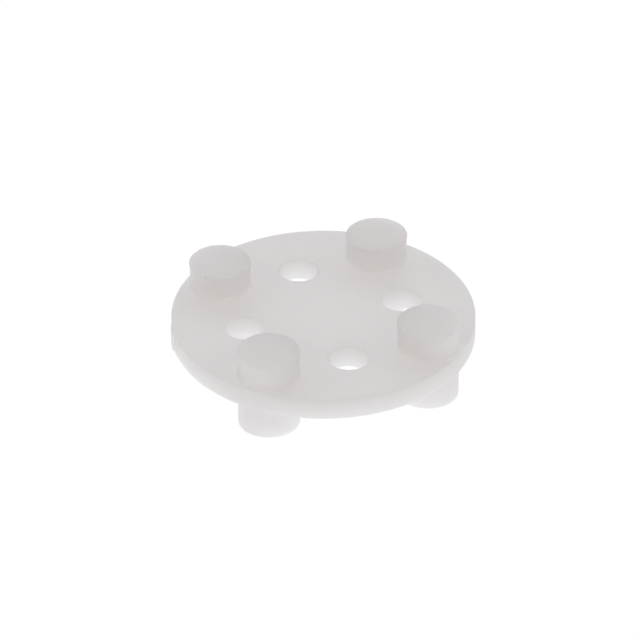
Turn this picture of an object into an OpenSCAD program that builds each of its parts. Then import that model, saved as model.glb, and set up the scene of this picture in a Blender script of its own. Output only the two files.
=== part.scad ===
// Moulded nylon pad that holds a round four-lead transistor clear of its board.
// One solid: a thin round web with four posts on top, four feet below and four lead holes.
// The origin is at the centre of the plane under the feet, and +Z points up to the transistor.
// The lead holes lie on the X and Y axes, the posts and feet on the diagonals between them.
// Lengths are in millimetres and angles in degrees.

/* [Web] */
// Diameter of the round web
web_d = 9.38; // [8.8:0.02:12]
// Thickness of the web
web_t = 0.7; // [0.5:0.02:2]
// Radius along the upper and lower edge of the web
web_edge_r = 0.05; // [0.02:0.01:0.1]

/* [Posts] */
// Diameter of each post, on which the transistor sits
post_d = 1.88; // [1.2:0.02:2.4]
// Height of each post above the web
post_h = 0.82; // [0.3:0.02:4]
// Section radius of the thin bead that runs round the top of each post
bead_r = 0.04; // [0.03:0.005:0.06]
// How far the bead stands out from the side of the post
bead_out = 0.02; // [0.01:0.005:0.025]

/* [Feet] */
// Diameter of each foot, which stands on the board
foot_d = 1.9; // [1.2:0.02:2.4]
// Height of each foot below the web
foot_h = 1.08; // [0.3:0.02:4]
// Radius round the lower edge of each foot
foot_edge_r = 0.05; // [0.02:0.01:0.1]

/* [Posts and feet together] */
// How many posts there are, with a foot under each one
post_count = 4; // [3:1:4]
// Radius of the fillet where a post or foot grows out of the web
root_r = 0.06; // [0.02:0.01:0.1]
// Flat strip of web left between the rounded rim and the widest of these fillets
rim_flat = 0.02; // [0.01:0.01:0.5]

/* [Lead holes] */
// Diameter of the circle through the lead holes
lead_circle_d = 5.08; // [4.4:0.02:6]
// Diameter of one transistor lead
lead_d = 0.48; // [0.4:0.02:0.8]
// Gap between the lead and the hole, all the way round
lead_gap = 0.32; // [0.1:0.01:0.4]
// Height of the straight bore at the lower end of the hole
bore_h = 0.3; // [0.2:0.02:0.5]
// Angle at which the hole widens above the bore, to guide the lead in
mouth_taper = 10; // [2:1:20]
// Radius of the rounded edge of the mouth
mouth_r = 0.03; // [0.02:0.01:0.12]

/* [Gate scar] */
// Angle round the rim to the middle of the scar
gate_angle = 176.2; // [135:0.1:225]
// Width of the scar along the rim
gate_w = 0.78; // [0.74:0.02:1.4]
// Radius of the scar's two lower corners
gate_corner_r = 0.36; // [0.1:0.01:0.36]
// Height of plain rim below the scar
gate_land = 0.1; // [0.02:0.01:0.12]
// How far the cut face stands out from the rim at its middle
gate_out = 0.06; // [0.04:0.01:0.2]
// Angle by which the cutter ran out of square
gate_skew = 4; // [0:0.5:5]
// Radius of the pit that the cutter tore at one upper corner
gate_pit_r = 0.07; // [0.04:0.01:0.1]

/* [Hidden] */
round_fn = 96;
web_r = web_d / 2;
post_pitch_r = web_r - web_edge_r - rim_flat - root_r - max(post_d, foot_d) / 2;
post_step = 360 / post_count;
web_z = foot_h;
web_top_z = web_z + web_t;
lead_hole_d = lead_d + 2 * lead_gap;
taper_h = web_t - bore_h - mouth_r * (1 - sin(mouth_taper));
gate_depth = web_t - gate_land;
gate_corner_x = gate_w / 2 - gate_corner_r;
// How far a foot, post or stub is carried into the web that it grows from
weld = web_t / 2;

// Half section of the web, with both edges rounded
module web_section() {
    square([web_r - web_edge_r, web_t]);
    translate([0, web_edge_r]) square([web_r, web_t - 2 * web_edge_r]);
    for (edge_z = [web_edge_r, web_t - web_edge_r]) {
        translate([web_r - web_edge_r, edge_z]) circle(r = web_edge_r, $fn = round_fn);
    }
}

// Half section of the fillet round the root of a post or foot of radius r
module root_section(r) {
    difference() {
        translate([0, -weld]) square([r + root_r, weld + root_r]);
        translate([r + root_r, root_r]) circle(r = root_r, $fn = round_fn);
    }
}

// One post with its root at z = 0
module post() {
    rotate_extrude($fn = round_fn) {
        root_section(post_d / 2);
        square([post_d / 2, post_h - bead_r]);
        square([post_d / 2 + bead_out - bead_r, post_h]);
        translate([post_d / 2 + bead_out - bead_r, post_h - bead_r]) circle(r = bead_r, $fn = round_fn);
    }
}

// One foot, drawn upwards with its root at z = 0
module foot() {
    rotate_extrude($fn = round_fn) {
        root_section(foot_d / 2);
        square([foot_d / 2, foot_h - foot_edge_r]);
        square([foot_d / 2 - foot_edge_r, foot_h]);
        translate([foot_d / 2 - foot_edge_r, foot_h - foot_edge_r]) circle(r = foot_edge_r, $fn = round_fn);
    }
}

// Half section of a lead hole above its straight bore: the taper and the rounded mouth
module mouth_section() {
    bore_r = lead_hole_d / 2;
    bore_top_z = web_z + bore_h;
    taper_r = bore_r + taper_h * tan(mouth_taper);
    edge_x = taper_r + mouth_r * cos(mouth_taper);
    difference() {
        polygon([
            [0, bore_top_z],
            [bore_r, bore_top_z],
            [taper_r, bore_top_z + taper_h],
            [edge_x, web_top_z],
            [0, web_top_z]
        ]);
        translate([edge_x, web_top_z - mouth_r]) circle(r = mouth_r, $fn = round_fn);
    }
}

// One lead hole through the web
module lead_hole() {
    translate([0, 0, web_z - weld]) cylinder(d = lead_hole_d, h = web_t + 2 * weld, $fn = round_fn);
    rotate_extrude($fn = round_fn) mouth_section();
}

// Section of the runner that was cut off: flat on top, with round lower corners
module gate_section() {
    translate([-gate_w / 2, -(gate_depth - gate_corner_r)]) square([gate_w, gate_depth - gate_corner_r]);
    translate([-gate_corner_x, -gate_depth]) square([2 * gate_corner_x, gate_depth]);
    for (side = [-1, 1]) {
        translate([side * gate_corner_x, gate_corner_r - gate_depth]) circle(r = gate_corner_r, $fn = round_fn);
    }
}

// Short stub that the cutter left on the rim, cut a little out of square
module gate_stub() {
    rotate([0, 0, gate_angle]) difference() {
        translate([web_r - weld, 0, web_top_z]) rotate([90, 0, 90]) linear_extrude(2 * weld) gate_section();
        translate([web_r + gate_out, 0, web_z]) rotate([0, 0, gate_skew]) translate([0, -gate_w, -weld])
            cube([3 * weld, 2 * gate_w, web_t + 2 * weld]);
        translate([web_r + gate_out, gate_w / 2 - gate_pit_r, web_top_z - gate_pit_r])
            sphere(r = gate_pit_r, $fn = round_fn);
    }
}

module mounting_pad() {
    color([0.93, 0.93, 0.90]) difference() {
        union() {
            translate([0, 0, web_z]) rotate_extrude($fn = round_fn) web_section();
            for (i = [0 : post_count - 1]) {
                rotate([0, 0, (i + 0.5) * post_step]) translate([post_pitch_r, 0, 0]) {
                    translate([0, 0, web_top_z]) post();
                    translate([0, 0, web_z]) mirror([0, 0, 1]) foot();
                }
            }
            gate_stub();
        }
        for (i = [0 : post_count - 1]) {
            rotate([0, 0, i * post_step]) translate([lead_circle_d / 2, 0, 0]) lead_hole();
        }
    }
}

mounting_pad();
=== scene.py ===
from math import atan2, cos, exp, hypot, pi, radians, sin, tan
import bmesh
import bpy
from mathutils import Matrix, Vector, noise
from mathutils.geometry import delaunay_2d_cdt


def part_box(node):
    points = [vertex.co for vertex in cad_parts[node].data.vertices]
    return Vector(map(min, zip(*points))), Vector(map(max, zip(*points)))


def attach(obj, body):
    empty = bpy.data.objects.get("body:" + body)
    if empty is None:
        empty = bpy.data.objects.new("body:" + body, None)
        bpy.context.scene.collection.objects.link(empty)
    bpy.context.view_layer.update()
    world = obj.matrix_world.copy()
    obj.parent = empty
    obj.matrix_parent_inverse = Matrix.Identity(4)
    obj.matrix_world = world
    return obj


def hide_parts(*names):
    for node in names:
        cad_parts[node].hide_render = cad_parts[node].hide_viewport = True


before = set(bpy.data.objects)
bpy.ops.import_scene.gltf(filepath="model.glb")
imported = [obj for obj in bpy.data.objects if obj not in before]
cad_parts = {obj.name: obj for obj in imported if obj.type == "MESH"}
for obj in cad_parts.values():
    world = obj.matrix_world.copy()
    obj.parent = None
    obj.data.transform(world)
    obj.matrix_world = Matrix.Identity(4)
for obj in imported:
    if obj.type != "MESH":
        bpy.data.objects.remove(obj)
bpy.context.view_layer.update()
print("frame loaded")

mm = 0.001  # the mesh is worked out in millimetres and scaled once at the end
padLow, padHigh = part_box("mounting_pad")

# The moulded pad: web, posts and feet, in millimetres
pad = {
    "webR": padHigh.x / mm,      # only the gate scar stands further out, towards -X
    "height": padHigh.z / mm,
    "footHigh": 1.08,
    "webThick": 0.70,
    "webEdge": 0.05,             # rounding along the rim
    "postR": 0.94,
    "footR": 0.95,
    "footEdge": 0.05,            # rounding at a foot's lower end
    "rootR": 0.06,               # fillet where posts and feet grow out of the web
    "rimFlat": 0.02,             # flat strip between those fillets and the rim's rounding
    "sink": 0.008,               # how far the middle of each end has sunk in cooling
}

# The lead holes, in millimetres
leadHole = {
    "circleR": 2.54,
    "boreR": 0.557,
    "boreHigh": 0.30,            # straight part of the hole
    "taper": 7.0,                # degrees by which it widens above that
    "mouthEdge": 0.06,           # rounding of its mouth
    "lowEdge": 0.012,            # broken edge at its lower end
}

# How finely the pad is meshed; lengths in millimetres
fine = {
    "postSteps": 112,
    "holeSteps": 96,
    "rimSteps": 420,
    "scarStep": 0.25,            # degrees between columns across the gate scar
    "scarReach": 0.663,          # how far those columns go to each side of its middle
    "arcSteps": 6,
    "beadSteps": 10,
    "lowEdgeSteps": 3,
    "postRow": 0.03,             # height of the rows up each wall
    "footRow": 0.045,
    "holeRow": 0.045,
    "rimRow": 0.021,
    "endRings": (0.97, 0.9, 0.78, 0.62, 0.45, 0.28, 0.12),
    "web": 0.13,                 # triangle size on the flat faces
    "webRoom": 0.6,              # share of it that stays free beside a ring
    "support": 0.018,            # narrow band beside each rounded edge
    "supportRoom": 0.9,
    "weld": 1e-7,
}

webLow = pad["footHigh"]
webTop = webLow + pad["webThick"]
webFlatR = pad["webR"] - pad["webEdge"]
postRootR = pad["postR"] + pad["rootR"]
footRootR = pad["footR"] + pad["rootR"]
postPitch = webFlatR - pad["rimFlat"] - max(postRootR, footRootR)
taperLean = radians(leadHole["taper"])
taperHigh = pad["webThick"] - leadHole["boreHigh"] - leadHole["mouthEdge"] * (1 - sin(taperLean))
mouthR = leadHole["boreR"] + taperHigh * tan(taperLean) + leadHole["mouthEdge"] * cos(taperLean)
boreOuterR = leadHole["boreR"] + leadHole["lowEdge"]


def fourSpots(r, firstTurn):
    # four places round the web, a quarter turn apart
    turns = [firstTurn + pi / 2 * i for i in range(4)]
    return [(r * cos(t), r * sin(t)) for t in turns]


postSpots = fourSpots(postPitch, pi / 4)
leadSpots = fourSpots(leadHole["circleR"], 0)


def rise(x, start, end):
    # 0 up to the start and 1 from the end on; it falls where the end comes first
    share = max(0.0, min(1.0, (x - start) / (end - start)))
    return share * share * (3 - 2 * share)


def hump(x):
    return exp(-x * x)


def layeredNoise(x, y, layers, times=1):
    # each layer gives its scale, its share and its depth in the noise
    return sum(share * noise.noise(Vector((x * scale, y * scale, depth * times)))
               for scale, share, depth in layers)


def arcPoints(centreR, centreZ, r, start, end, steps):
    # points of a half section along an arc, angles in degrees from outwards to up
    turns = [radians(start + (end - start) * i / steps) for i in range(steps + 1)]
    return [(centreR + r * cos(t), centreZ + r * sin(t)) for t in turns]


def slopePoints(start, end, row):
    # points strictly between two ends of a straight wall, upright or sloping
    (startR, startZ), (endR, endZ) = start, end
    count = max(1, round(abs(endZ - startZ) / row))
    return [(startR + (endR - startR) * i / count, startZ + (endZ - startZ) * i / count)
            for i in range(1, count)]


def evenTurn(steps):
    return [2 * pi * i / steps for i in range(steps)]


def spinProfile(bm, spot, profile, turns, shape=None):
    # one ring of vertices for each point of a half section; shape may move each one a little
    rings = []
    for profileR, profileZ in profile:
        ring = []
        for t in turns:
            r, z = shape(t, profileR, profileZ) if shape else (profileR, profileZ)
            ring.append(bm.verts.new((spot[0] + r * cos(t), spot[1] + r * sin(t), z)))
        rings.append(ring)
    return rings


def skinRings(bm, rings):
    for low, high in zip(rings, rings[1:]):
        count = len(low)
        for i in range(count):
            j = (i + 1) % count
            bm.faces.new((low[i], low[j], high[j], high[i]))


def closeEnd(bm, spot, ring, r, z, sink):
    # the round end of a post or foot, which sank a little in cooling
    steps = len(ring)
    rings = [ring]
    for share in fine["endRings"]:
        dip = sink * (1 - share * share)
        loop = [bm.verts.new((spot[0] + r * share * cos(t), spot[1] + r * share * sin(t), z - dip))
                for t in evenTurn(steps)]
        rings.append(loop)
    skinRings(bm, rings)
    middle = bm.verts.new((spot[0], spot[1], z - sink))
    for i in range(steps):
        bm.faces.new((rings[-1][i], rings[-1][(i + 1) % steps], middle))


def fillFlat(bm, z, outer, outerR, holes):
    # triangles over a flat face, from its outer ring to the rings of what stands or opens in it
    loops = [outer] + [h["ring"] for h in holes]
    points, owner, verts = [], [], []
    for loopIndex, ring in enumerate(loops):
        for v in ring:
            points.append(Vector((v.co.x, v.co.y)))
            owner.append(loopIndex)
            verts.append(v)

    def addPoint(x, y, room):
        # leaves the point out where it would come too close to a ring
        if hypot(x, y) > outerR - room:
            return
        if all(hypot(x - h["spot"][0], y - h["spot"][1]) > h["r"] + room for h in holes):
            points.append(Vector((x, y)))
            owner.append(-1)
            verts.append(bm.verts.new((x, y, z)))

    room = fine["support"] * fine["supportRoom"]
    for h in holes:
        r = h["r"] + fine["support"]
        for t in evenTurn(len(h["ring"])):
            addPoint(h["spot"][0] + r * cos(t), h["spot"][1] + r * sin(t), room)
    r = outerR - fine["support"]
    for t in evenTurn(fine["rimSteps"]):
        addPoint(r * cos(t), r * sin(t), room)
    step = fine["web"]
    rowHigh = step * sin(pi / 3)
    rows = int(outerR / rowHigh) + 1
    for row in range(-rows, rows + 1):
        for column in range(-rows - 1, rows + 2):
            addPoint((column + 0.5 * (row % 2)) * step, row * rowHigh, step * fine["webRoom"])

    edges = []
    start = 0
    for ring in loops:
        count = len(ring)
        edges += [(start + i, start + (i + 1) % count) for i in range(count)]
        start += count
    flat = delaunay_2d_cdt(points, edges, [], 0, fine["weld"])
    source = [ids[0] for ids in flat[3]]
    for face in flat[2]:
        ids = [source[i] for i in face]
        touched = {owner[i] for i in ids}
        if len(touched) == 1 and touched.pop() > 0:
            continue  # inside a post's root or a hole
        bm.faces.new([verts[i] for i in ids])


# What the gate left on the rim, in millimetres
# across runs along the rim from the scar's middle, down runs down from the web's upper face
gateScar = {
    "angle": 176.2,
    "out": 0.026,                # how far the cut face stands out
    "skew": 1.5,                 # degrees that the cutter ran out of square
    "far": (-0.74, -0.34),       # where the far side rises slowly out of the rim
    "near": (0.39, 0.36),        # where the near side drops quickly back to it
    "low": (0.70, 0.63),         # where the lower end rises out of it
    "reach": 0.78,               # the rim is plain beyond this, to each side
    "lowOut": 0.030,             # how much further the lower end stands out
    "lowOutAcross": (-0.45, -0.25),
    "lowOutDown": (0.4, 0.6),
    "tornDrop": 0.038,           # how much deeper the near half tore away
    "torn": (-0.02, 0.025),
    "tornRagged": 0.027,
    "pitAcross": 0.36,           # the pit that the cutter tore
    "pitDown": 0.07,
    "pitR": 0.07,
    "pitDeep": 0.07,
    "creaseAcross": 0.34,        # crease along the torn side
    "creaseDeep": 0.045,
    "creaseWide": 0.035,
    "creaseDown": (0.54, 0.27),
    "burrOut": 0.015,            # burr at the side where the cutter entered
    "burrAcross": -0.36,
    "burrWide": 0.09,
    "burrDown": (0.3, 0.1),
    "ragged": 0.008,             # roughness of the cut face
    "sideRagged": 0.010,         # and of its near side
    "grain": [(9.0, 0.7, 3.1), (23.0, 0.3, 8.4)],
    "edge": 0.018,               # rounding along the stub's upper edge
    "edgeSquare": 0.75,          # how square that edge is, from 0 to 1
    "cutFrom": 0.02,             # how far down the cut nylon starts
    "cutBorder": 0.5,            # how much of the stub's cover the cut nylon needs
    "cutBorderLeast": 0.2,
    "cutBorderGrain": [(7.0, 0.8, 5.2)],
}


def scarPlace(turn, z):
    return (turn - radians(gateScar["angle"])) * pad["webR"], webTop - z


def scarSpot(across, down, lift):
    turn = radians(gateScar["angle"]) + across / pad["webR"]
    r = pad["webR"] + lift
    return r * cos(turn), r * sin(turn), webTop - down


def scarCover(across, down, rough=0.0):
    # 1 on the stub, 0 on the plain rim round it
    frayed = across - gateScar["sideRagged"] * rough
    sides = rise(across, *gateScar["far"]) * rise(frayed, *gateScar["near"])
    return sides * rise(down, *gateScar["low"])


def scarLift(across, down):
    # how far the torn and cut skin stands out from the rim
    rough = layeredNoise(across, down, gateScar["grain"])
    skew = radians(gateScar["skew"])
    cutR = (pad["webR"] + gateScar["out"]) * cos(skew) / cos(across / pad["webR"] - skew)
    lift = cutR - pad["webR"] - gateScar["ragged"] * rough
    lowOut = rise(across, *gateScar["lowOutAcross"]) * rise(down, *gateScar["lowOutDown"])
    lift += gateScar["lowOut"] * lowOut
    burrAway = (across - gateScar["burrAcross"]) / gateScar["burrWide"]
    lift += gateScar["burrOut"] * hump(burrAway) * rise(down, *gateScar["burrDown"])
    lift -= gateScar["tornDrop"] * rise(across + gateScar["tornRagged"] * rough, *gateScar["torn"])
    lift *= scarCover(across, down, rough)
    pitAway = hypot(across - gateScar["pitAcross"], down - gateScar["pitDown"]) / gateScar["pitR"]
    lift -= gateScar["pitDeep"] * hump(pitAway)
    creaseAway = (across - gateScar["creaseAcross"]) / gateScar["creaseWide"] + rough
    lift -= gateScar["creaseDeep"] * hump(creaseAway) * rise(down, *gateScar["creaseDown"])
    return lift


def rimShape(turn, r, z):
    across, down = scarPlace(turn, z)
    if abs(across) > gateScar["reach"]:
        return r, z
    upperEdge = scarCover(across, down) * rise(down, pad["webEdge"], 0)
    # on the stub the upper edge is sharper than on the rest of the rim
    squareR = pad["webR"] if down > 0.0 else webFlatR
    r += (squareR - r) * upperEdge * gateScar["edgeSquare"]
    if down > 0.0:
        r += scarLift(across, down)
    r = min(r, padLow.x / mm / cos(turn))  # the CAD scar's own reach
    z += (webTop - gateScar["edge"] * down / pad["webEdge"] - z) * upperEdge
    return r, z


def rimTurns():
    # columns round the rim, closer together across the scar
    middle = radians(gateScar["angle"])
    half = fine["scarReach"] / pad["webR"]
    closeCount = round(2 * half / radians(fine["scarStep"]))
    turns = [middle - half + 2 * half * i / closeCount for i in range(closeCount)]
    rest = 2 * pi - 2 * half
    restCount = round(rest / (2 * pi) * fine["rimSteps"])
    return turns + [middle + half + rest * i / restCount for i in range(restCount)]


# Thin bead round each post's top, in millimetres
bead = {
    "r": 0.04,
    "out": 0.02,                 # how far it stands out from the post's side
    "start": -60,                # degrees at which its section leaves that side
    "shapedHigh": 0.088,         # how far below the top it wanders and is nicked
    "shapedFrom": 0.875,         # and how far in, as a share of the post's radius
    "wander": 0.006,
    "waves": [(2.5, 1.0, 5.0), (9.0, 0.5, 7.0)],
}
# Small nicks in it: which post, degrees round it, width and depth, and how dark the painted shade
# laid in them is
nicks = [
    {"post": 1, "angle": 119.5, "wide": 0.050, "deep": 0.020, "dirtAndShade": 0.60},
    {"post": 1, "angle": 125.5, "wide": 0.050, "deep": 0.016, "dirtAndShade": 0.35},
    {"post": 1, "angle": 131.0, "wide": 0.050, "deep": 0.012, "dirtAndShade": 0.40},
    {"post": 1, "angle": 225.0, "wide": 0.045, "deep": 0.030, "dirtAndShade": 0.22},
    {"post": 1, "angle": 292.0, "wide": 0.070, "deep": 0.016, "dirtAndShade": 0.00},
    {"post": 0, "angle": 269.0, "wide": 0.035, "deep": 0.026, "dirtAndShade": 0.08},
    {"post": 0, "angle": 278.0, "wide": 0.030, "deep": 0.024, "dirtAndShade": 0.08},
    {"post": 0, "angle": 335.0, "wide": 0.060, "deep": 0.014, "dirtAndShade": 0.10},
    {"post": 0, "angle": 359.0, "wide": 0.060, "deep": 0.018, "dirtAndShade": 0.20},
    {"post": 3, "angle": 299.0, "wide": 0.045, "deep": 0.026, "dirtAndShade": 0.05},
    {"post": 3, "angle": 317.0, "wide": 0.035, "deep": 0.020, "dirtAndShade": 0.00},
    {"post": 3, "angle": 210.0, "wide": 0.060, "deep": 0.018, "dirtAndShade": 0.06},
    {"post": 2, "angle": 325.0, "wide": 0.060, "deep": 0.012, "dirtAndShade": 0.06},
]


def beadShape(postIndex):
    mine = [n for n in nicks if n["post"] == postIndex]

    def shape(turn, r, z):
        shaped = rise(z, pad["height"] - bead["shapedHigh"], pad["height"])
        shaped *= rise(r / pad["postR"], bead["shapedFrom"], 1)
        r += shaped * bead["wander"] * layeredNoise(cos(turn), sin(turn), bead["waves"], postIndex)
        for nick in mine:
            gap = turn - radians(nick["angle"])
            away = atan2(sin(gap), cos(gap)) * pad["postR"]
            r -= shaped * nick["deep"] * hump(away / nick["wide"])
        return r, z
    return shape


def postProfile():
    root = arcPoints(postRootR, webTop + pad["rootR"], pad["rootR"], 270, 180, fine["arcSteps"])
    beadR, beadZ = pad["postR"] + bead["out"] - bead["r"], pad["height"] - bead["r"]
    top = arcPoints(beadR, beadZ, bead["r"], bead["start"], 90, fine["beadSteps"])
    return root + slopePoints(root[-1], (pad["postR"], top[0][1]), fine["postRow"]) + top


def footProfile():
    root = arcPoints(footRootR, webLow - pad["rootR"], pad["rootR"], 90, 180, fine["arcSteps"])
    edge = pad["footEdge"]
    end = arcPoints(pad["footR"] - edge, edge, edge, 0, -90, fine["arcSteps"])
    return root + slopePoints(root[-1], end[0], fine["footRow"]) + end


def holeProfile():
    edge = leadHole["mouthEdge"]
    mouth = arcPoints(mouthR, webTop - edge, edge, 90, 180 - leadHole["taper"], fine["arcSteps"])
    boreTop = (leadHole["boreR"], webLow + leadHole["boreHigh"])
    lowEdge = leadHole["lowEdge"]
    end = arcPoints(boreOuterR, webLow + lowEdge, lowEdge, 180, 270, fine["lowEdgeSteps"])
    taper = slopePoints(mouth[-1], boreTop, fine["holeRow"])
    return mouth + taper + [boreTop] + slopePoints(boreTop, end[0], fine["holeRow"]) + end


def rimProfile():
    edge = pad["webEdge"]
    upper = arcPoints(webFlatR, webTop - edge, edge, 90, 0, fine["arcSteps"])
    lower = arcPoints(webFlatR, webLow + edge, edge, 0, -90, fine["arcSteps"])
    return upper + slopePoints(upper[-1], lower[0], fine["rimRow"]) + lower


def isCut(face):
    # whether a face lies on the cut and torn skin of the gate scar
    centre = face.calc_center_median()
    across, down = scarPlace(atan2(centre.y, centre.x) % (2 * pi), centre.z)
    if hypot(centre.x, centre.y) <= webFlatR or down <= gateScar["cutFrom"]:
        return False
    border = gateScar["cutBorder"] + layeredNoise(across, down, gateScar["cutBorderGrain"])
    return scarCover(across, down) > max(gateScar["cutBorderLeast"], border)


def mouldPad():
    bm = bmesh.new()
    upperRings, lowerRings = [], []
    rim = spinProfile(bm, (0, 0), rimProfile(), rimTurns(), rimShape)
    skinRings(bm, rim)
    postSection, footSection, holeSection = postProfile(), footProfile(), holeProfile()
    roundTurn = evenTurn(fine["postSteps"])
    for i, spot in enumerate(postSpots):
        post = spinProfile(bm, spot, postSection, roundTurn, beadShape(i))
        skinRings(bm, post)
        closeEnd(bm, spot, post[-1], postSection[-1][0], pad["height"], pad["sink"])
        upperRings.append({"spot": spot, "r": postRootR, "ring": post[0]})
        foot = spinProfile(bm, spot, footSection, roundTurn)
        skinRings(bm, foot)
        closeEnd(bm, spot, foot[-1], footSection[-1][0], 0.0, -pad["sink"])
        lowerRings.append({"spot": spot, "r": footRootR, "ring": foot[0]})
    print("rim, posts and feet shaped")
    for spot in leadSpots:
        hole = spinProfile(bm, spot, holeSection, evenTurn(fine["holeSteps"]))
        skinRings(bm, hole)
        upperRings.append({"spot": spot, "r": mouthR, "ring": hole[0]})
        lowerRings.append({"spot": spot, "r": boreOuterR, "ring": hole[-1]})
    fillFlat(bm, webTop, rim[0], webFlatR, upperRings)
    fillFlat(bm, webLow, rim[-1], webFlatR, lowerRings)
    bmesh.ops.recalc_face_normals(bm, faces=bm.faces)
    for face in bm.faces:
        face.smooth = True
        face.material_index = 1 if isCut(face) else 0
    bmesh.ops.scale(bm, vec=(mm, mm, mm), verts=bm.verts)
    mesh = bpy.data.meshes.new("moulded_pad")
    bm.to_mesh(mesh)
    openEdges = sum(1 for e in bm.edges if len(e.link_faces) != 2)
    print("pad meshed:", len(mesh.polygons), "faces,", openEdges, "open edges")
    bm.free()
    piece = bpy.data.objects.new("moulded_pad", mesh)
    bpy.context.scene.collection.objects.link(piece)
    return piece


# Natural nylon: milky, lightly translucent, with a fine matt skin
nylon = {
    "skin": (0.955, 0.95, 0.95),
    "cloud": (0.94, 0.935, 0.93),
    "cloudScale": 0.8,           # clouds per millimetre
    "depth": 0.0020,             # how far light travels inside, in metres
    "spread": (1.0, 0.92, 0.82),
    "roughness": (0.40, 0.52),
    "ior": 1.53,
    "grainScale": 26.0,          # grains per millimetre
    "grainHigh": 0.0000012,      # in metres
}
# The same nylon where the gate was cut off: duller and coarser
cutNylon = {
    "skin": (0.93, 0.925, 0.91),
    "cloud": (0.88, 0.87, 0.85),
    "cloudScale": 6.0,
    "roughness": (0.5, 0.7),
    "grainScale": 12.0,
    "grainHigh": 0.000006,
}
skinPattern = {
    "cloudDetail": 4.0,
    "cloudRoughness": 0.6,
    "cloudRange": (0.35, 0.68),  # the part of the noise that becomes cloud
    "grainDetail": 3.0,
}
# Colour and outline of the dark marks: real dirt specks, and painted shade in the nicks and the
# gate scar
dirtAndShade = {
    "colour": (0.17, 0.15, 0.13),
    "inner": 0.35,               # share of a mark's reach where it is full
    "fray": 0.8,                 # how much the grain frays its outline
    "nickReach": 1.3,            # how far it reaches round a nick, in the nick's own widths
    "nickInset": 0.01,           # how far inside the post's side it lies, in millimetres
}
# Painted shade in the gate scar's pit, along its crease, on the wall of its torn step and along
# the stub's upper edge: where on the scar, and its reach along X, Y and Z, in millimetres
scarPaintedShade = [
    {"across": 0.37, "down": 0.07, "lift": -0.02, "reach": (0.09, 0.080, 0.100), "dirtAndShade": 0.45},
    {"across": 0.32, "down": 0.26, "lift": -0.01, "reach": (0.06, 0.040, 0.240), "dirtAndShade": 0.15},
    {"across": 0.01, "down": 0.30, "lift": 0.02, "reach": (0.06, 0.045, 0.280), "dirtAndShade": 0.12},
    {"across": 0.07, "down": 0.01, "lift": 0.00, "reach": (0.06, 0.100, 0.050), "dirtAndShade": 0.10},
]
# Specks elsewhere
specks = [
    {"place": (1.68, 2.19, 2.16), "reach": (0.08, 0.08, 0.022), "dirtAndShade": 0.15},
    {"place": (1.46, 2.97, 1.78), "reach": (0.05, 0.05, 0.030), "dirtAndShade": 0.12},
    {"place": (3.44, 1.68, 1.78), "reach": (0.04, 0.04, 0.030), "dirtAndShade": 0.10},
    {"place": (-4.50, 0.02, 1.78), "reach": (0.05, 0.10, 0.030), "dirtAndShade": 0.05},
]


def dirtAndShadeMarks():
    # every dark mark on the pad, the dirt specks and the painted shade in the nicks and the gate
    # scar, with its place in millimetres
    marks = list(specks)
    # painted shade in the gate scar's pit, crease and torn step
    for d in scarPaintedShade:
        place = scarSpot(d["across"], d["down"], d["lift"])
        marks.append({"place": place, "reach": d["reach"], "dirtAndShade": d["dirtAndShade"]})
    # painted shade laid into each nick on the post tops
    r = pad["postR"] - dirtAndShade["nickInset"]
    for n in nicks:
        if n["dirtAndShade"] > 0:
            x, y = postSpots[n["post"]]
            turn = radians(n["angle"])
            place = (x + r * cos(turn), y + r * sin(turn), pad["height"])
            reach = (dirtAndShade["nickReach"] * n["wide"],) * 3
            marks.append({"place": place, "reach": reach, "dirtAndShade": n["dirtAndShade"]})
    return marks


def addSockets(group, way, *names, kind="NodeSocketFloat"):
    for name in names:
        group.interface.new_socket(name, in_out=way, socket_type=kind)


def mouldSkinGroup():
    # clouding and fine grain of moulded nylon, shared by the skin and the cut face
    group = bpy.data.node_groups.new("mouldSkin", "ShaderNodeTree")
    addSockets(group, "INPUT", "Cloud Scale", "Grain Scale")
    addSockets(group, "OUTPUT", "Cloud", "Grain")
    nodes, links = group.nodes, group.links
    given = nodes.new("NodeGroupInput")
    result = nodes.new("NodeGroupOutput")
    place = nodes.new("ShaderNodeTexCoord")
    millimetres = nodes.new("ShaderNodeVectorMath")
    millimetres.operation = "SCALE"
    millimetres.inputs["Scale"].default_value = 1 / mm
    links.new(place.outputs["Object"], millimetres.inputs[0])
    cloud = nodes.new("ShaderNodeTexNoise")
    cloud.inputs["Detail"].default_value = skinPattern["cloudDetail"]
    cloud.inputs["Roughness"].default_value = skinPattern["cloudRoughness"]
    links.new(millimetres.outputs[0], cloud.inputs["Vector"])
    links.new(given.outputs["Cloud Scale"], cloud.inputs["Scale"])
    soften = nodes.new("ShaderNodeMapRange")
    soften.interpolation_type = "SMOOTHSTEP"
    soften.inputs["From Min"].default_value = skinPattern["cloudRange"][0]
    soften.inputs["From Max"].default_value = skinPattern["cloudRange"][1]
    links.new(cloud.outputs["Fac"], soften.inputs["Value"])
    links.new(soften.outputs["Result"], result.inputs["Cloud"])
    grain = nodes.new("ShaderNodeTexNoise")
    grain.inputs["Detail"].default_value = skinPattern["grainDetail"]
    links.new(millimetres.outputs[0], grain.inputs["Vector"])
    links.new(given.outputs["Grain Scale"], grain.inputs["Scale"])
    links.new(grain.outputs["Fac"], result.inputs["Grain"])
    return group


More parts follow.
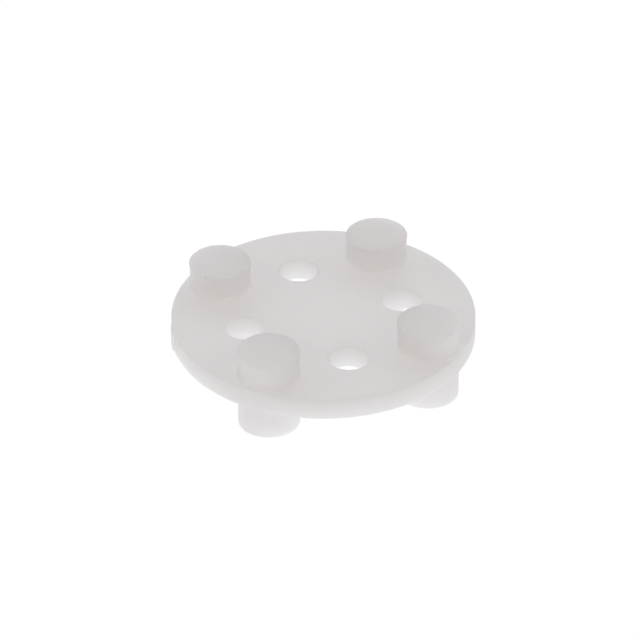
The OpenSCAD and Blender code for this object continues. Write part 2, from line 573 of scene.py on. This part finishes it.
def dirtAndShadeMarkGroup():
    # one small dark mark, used both for dirt specks and for painted shade: its full strength at
    # its middle and 0 outside its reach
    group = bpy.data.node_groups.new("dirtAndShadeMark", "ShaderNodeTree")
    addSockets(group, "INPUT", "Place", "Reach", kind="NodeSocketVector")
    addSockets(group, "INPUT", "DirtAndShade", "Fray")
    addSockets(group, "OUTPUT", "Mask")
    nodes, links = group.nodes, group.links
    given = nodes.new("NodeGroupInput")
    result = nodes.new("NodeGroupOutput")
    here = nodes.new("ShaderNodeTexCoord")
    away = nodes.new("ShaderNodeVectorMath")
    away.operation = "SUBTRACT"
    links.new(here.outputs["Object"], away.inputs[0])
    links.new(given.outputs["Place"], away.inputs[1])
    share = nodes.new("ShaderNodeVectorMath")
    share.operation = "DIVIDE"
    links.new(away.outputs[0], share.inputs[0])
    links.new(given.outputs["Reach"], share.inputs[1])
    far = nodes.new("ShaderNodeVectorMath")
    far.operation = "LENGTH"
    links.new(share.outputs[0], far.inputs[0])
    frayed = nodes.new("ShaderNodeMath")
    links.new(far.outputs["Value"], frayed.inputs[0])
    links.new(given.outputs["Fray"], frayed.inputs[1])
    fade = nodes.new("ShaderNodeMapRange")
    fade.interpolation_type = "SMOOTHSTEP"
    fade.inputs["From Min"].default_value = 1.0
    fade.inputs["From Max"].default_value = dirtAndShade["inner"]
    links.new(frayed.outputs["Value"], fade.inputs["Value"])
    amount = nodes.new("ShaderNodeMath")
    amount.operation = "MULTIPLY"
    links.new(fade.outputs["Result"], amount.inputs[0])
    links.new(given.outputs["DirtAndShade"], amount.inputs[1])
    links.new(amount.outputs["Value"], result.inputs["Mask"])
    return group


def dirtiedAndShaded(nodes, links, clean, grain, markGroup):
    # the clean colour with every dirt speck and every mark of painted shade laid over it
    fray = nodes.new("ShaderNodeMath")
    fray.operation = "MULTIPLY_ADD"
    fray.inputs[1].default_value = dirtAndShade["fray"]
    fray.inputs[2].default_value = -dirtAndShade["fray"] / 2
    links.new(grain, fray.inputs[0])
    total = None
    for mark in dirtAndShadeMarks():
        one = nodes.new("ShaderNodeGroup")
        one.node_tree = markGroup
        one.inputs["Place"].default_value = [v * mm for v in mark["place"]]
        one.inputs["Reach"].default_value = [v * mm for v in mark["reach"]]
        one.inputs["DirtAndShade"].default_value = mark["dirtAndShade"]
        links.new(fray.outputs["Value"], one.inputs["Fray"])
        if total is None:
            total = one.outputs["Mask"]
            continue
        stronger = nodes.new("ShaderNodeMath")
        stronger.operation = "MAXIMUM"
        links.new(total, stronger.inputs[0])
        links.new(one.outputs["Mask"], stronger.inputs[1])
        total = stronger.outputs["Value"]
    laid = nodes.new("ShaderNodeMix")
    laid.data_type = "RGBA"
    laid.inputs["B"].default_value = (*dirtAndShade["colour"], 1)
    links.new(total, laid.inputs["Factor"])
    links.new(clean, laid.inputs["A"])
    return laid.outputs["Result"]


def nylonMaterial(name, look, skinGroup, markGroup):
    material = bpy.data.materials.new(name)
    material.use_nodes = True
    nodes, links = material.node_tree.nodes, material.node_tree.links
    shader = nodes["Principled BSDF"]
    skin = nodes.new("ShaderNodeGroup")
    skin.node_tree = skinGroup
    skin.inputs["Cloud Scale"].default_value = look["cloudScale"]
    skin.inputs["Grain Scale"].default_value = look["grainScale"]
    colour = nodes.new("ShaderNodeMix")
    colour.data_type = "RGBA"
    colour.inputs["A"].default_value = (*look["skin"], 1)
    colour.inputs["B"].default_value = (*look["cloud"], 1)
    links.new(skin.outputs["Cloud"], colour.inputs["Factor"])
    # the base colour carries the dirt specks and the painted shade
    dirtyShadedColour = dirtiedAndShaded(nodes, links, colour.outputs["Result"], skin.outputs["Grain"], markGroup)
    links.new(dirtyShadedColour, shader.inputs["Base Color"])
    rough = nodes.new("ShaderNodeMapRange")
    rough.inputs["To Min"].default_value = look["roughness"][0]
    rough.inputs["To Max"].default_value = look["roughness"][1]
    links.new(skin.outputs["Cloud"], rough.inputs["Value"])
    links.new(rough.outputs["Result"], shader.inputs["Roughness"])
    bump = nodes.new("ShaderNodeBump")
    bump.inputs["Distance"].default_value = look["grainHigh"]
    links.new(skin.outputs["Grain"], bump.inputs["Height"])
    links.new(bump.outputs["Normal"], shader.inputs["Normal"])
    shader.inputs["IOR"].default_value = nylon["ior"]
    shader.inputs["Subsurface Weight"].default_value = 1.0
    shader.inputs["Subsurface Radius"].default_value = nylon["spread"]
    shader.inputs["Subsurface Scale"].default_value = nylon["depth"]
    return material


piece = mouldPad()
skinGroup, markGroup = mouldSkinGroup(), dirtAndShadeMarkGroup()
piece.data.materials.append(nylonMaterial("natural_nylon", nylon, skinGroup, markGroup))
piece.data.materials.append(nylonMaterial("cut_nylon", cutNylon, skinGroup, markGroup))
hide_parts("mounting_pad")
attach(piece, "root")
print("nylon on")

# Where the photograph was taken from; angles in degrees, lengths in metres
shot = {
    "azimuth": -17.62,
    "elevation": 34.13,
    "away": 0.17751,
    "aimRight": -0.000107,
    "aimUp": 0.000087,
    "lens": 323.5,               # this and the sensor in millimetres
    "sensor": 36.0,
    "clipStart": 0.01,
}

# Pale glowing floor and plain soft light; lengths in metres
studio = {
    "floorSize": 0.6,
    "floorColour": (0.3, 0.3, 0.3),
    "floorRoughness": 0.9,
    "floorGlow": 0.67,           # light that the floor gives back to the pad
    "floorLight": (0.975, 0.97, 1.0),
    "floorSeen": 1.02,           # how bright the floor itself looks
    "worldGlow": 1.06,
    "worldColour": (1.0, 0.937, 0.895),
    # share of that light against the sine of its height: a band all round, and less from overhead
    "worldBand": [(0.17, 0.0), (0.34, 1.0), (0.52, 1.0), (0.68, 0.4)],
    "softboxUp": 45.0,           # degrees above the floor, behind the pad
    "softboxAway": 0.35,
    "softboxSize": 0.30,
    "softboxColour": (0.35, 0.6, 1.0),
    "softboxPower": 0.10,
}


def lookFrom(azimuth, elevation):
    # the ways back to the eye, to its right and up in its view
    a, e = radians(azimuth), radians(elevation)
    back = Vector((sin(a) * cos(e), -cos(a) * cos(e), sin(e)))
    right = Vector((cos(a), sin(a), 0))
    return back, right, back.cross(right)


def layFloor():
    half = studio["floorSize"] / 2
    corners = [(-half, -half, 0), (half, -half, 0), (half, half, 0), (-half, half, 0)]
    mesh = bpy.data.meshes.new("floor")
    mesh.from_pydata(corners, [], [(0, 1, 2, 3)])
    floor = bpy.data.objects.new("floor", mesh)
    bpy.context.scene.collection.objects.link(floor)
    material = bpy.data.materials.new("floor")
    material.use_nodes = True
    nodes, links = material.node_tree.nodes, material.node_tree.links
    shader = nodes["Principled BSDF"]
    shader.inputs["Base Color"].default_value = (*studio["floorColour"], 1)
    shader.inputs["Roughness"].default_value = studio["floorRoughness"]
    shader.inputs["Emission Color"].default_value = (*studio["floorLight"], 1)
    shader.inputs["Emission Strength"].default_value = studio["floorGlow"]
    # the floor is lit so brightly that it looks plain white and takes no shadow
    white = nodes.new("ShaderNodeEmission")
    white.inputs["Strength"].default_value = studio["floorSeen"]
    seen = nodes.new("ShaderNodeLightPath")
    chooseWhite = nodes.new("ShaderNodeMixShader")
    links.new(seen.outputs["Is Camera Ray"], chooseWhite.inputs["Fac"])
    links.new(shader.outputs["BSDF"], chooseWhite.inputs[1])
    links.new(white.outputs["Emission"], chooseWhite.inputs[2])
    # from below the floor lets the underside of the pad be seen
    facing = nodes.new("ShaderNodeNewGeometry")
    clearBack = nodes.new("ShaderNodeBsdfTransparent")
    choose = nodes.new("ShaderNodeMixShader")
    links.new(facing.outputs["Backfacing"], choose.inputs["Fac"])
    links.new(chooseWhite.outputs["Shader"], choose.inputs[1])
    links.new(clearBack.outputs["BSDF"], choose.inputs[2])
    links.new(choose.outputs["Shader"], nodes["Material Output"].inputs["Surface"])
    mesh.materials.append(material)


def hangSoftbox(aim):
    back = lookFrom(shot["azimuth"] + 180, studio["softboxUp"])[0]
    data = bpy.data.lights.new("back_soft", "AREA")
    data.shape = "SQUARE"
    data.size = studio["softboxSize"]
    data.energy = studio["softboxPower"]
    data.color = studio["softboxColour"]
    light = bpy.data.objects.new("back_soft", data)
    light.location = aim + back * studio["softboxAway"]
    light.visible_camera = False
    light.rotation_mode = "QUATERNION"
    light.rotation_quaternion = (-back).to_track_quat("-Z", "Y")
    bpy.context.scene.collection.objects.link(light)


def lightWorld():
    world = bpy.data.worlds.new("studio")
    world.use_nodes = True
    nodes, links = world.node_tree.nodes, world.node_tree.links
    glow = nodes["Background"]
    glow.inputs["Color"].default_value = (*studio["worldColour"], 1)
    direction = nodes.new("ShaderNodeTexCoord")
    height = nodes.new("ShaderNodeSeparateXYZ")
    band = nodes.new("ShaderNodeValToRGB")
    band.color_ramp.interpolation = "EASE"
    stops = band.color_ramp.elements
    while len(stops) < len(studio["worldBand"]):
        stops.new(1.0)
    for stop, (place, share) in zip(stops, studio["worldBand"]):
        stop.position = place
        stop.color = (share, share, share, 1)
    strength = nodes.new("ShaderNodeMath")
    strength.operation = "MULTIPLY"
    strength.inputs[1].default_value = studio["worldGlow"]
    links.new(direction.outputs["Generated"], height.inputs["Vector"])
    links.new(height.outputs["Z"], band.inputs["Fac"])
    links.new(band.outputs["Color"], strength.inputs[0])
    links.new(strength.outputs["Value"], glow.inputs["Strength"])
    # the backdrop itself is plain white, whatever light it gives
    backdrop = nodes.new("ShaderNodeBackground")
    backdrop.inputs["Color"].default_value = (1, 1, 1, 1)
    seen = nodes.new("ShaderNodeLightPath")
    choose = nodes.new("ShaderNodeMixShader")
    links.new(seen.outputs["Is Camera Ray"], choose.inputs["Fac"])
    links.new(glow.outputs["Background"], choose.inputs[1])
    links.new(backdrop.outputs["Background"], choose.inputs[2])
    links.new(choose.outputs["Shader"], nodes["World Output"].inputs["Surface"])
    bpy.context.scene.world = world


def placeCamera(aim):
    back, right, up = lookFrom(shot["azimuth"], shot["elevation"])
    data = bpy.data.cameras.new("camera")
    data.lens = shot["lens"]
    data.sensor_width = shot["sensor"]
    data.clip_start = shot["clipStart"]
    camera = bpy.data.objects.new("camera", data)
    camera.location = aim + right * shot["aimRight"] + up * shot["aimUp"] + back * shot["away"]
    camera.rotation_mode = "QUATERNION"
    camera.rotation_quaternion = (-back).to_track_quat("-Z", "Y")
    bpy.context.scene.collection.objects.link(camera)
    bpy.context.scene.camera = camera


webMiddle = Vector((0, 0, (webLow + webTop) / 2 * mm))
layFloor()
hangSoftbox(webMiddle)
lightWorld()
placeCamera(webMiddle)
bpy.context.scene.view_settings.view_transform = "Standard"
print("studio set")
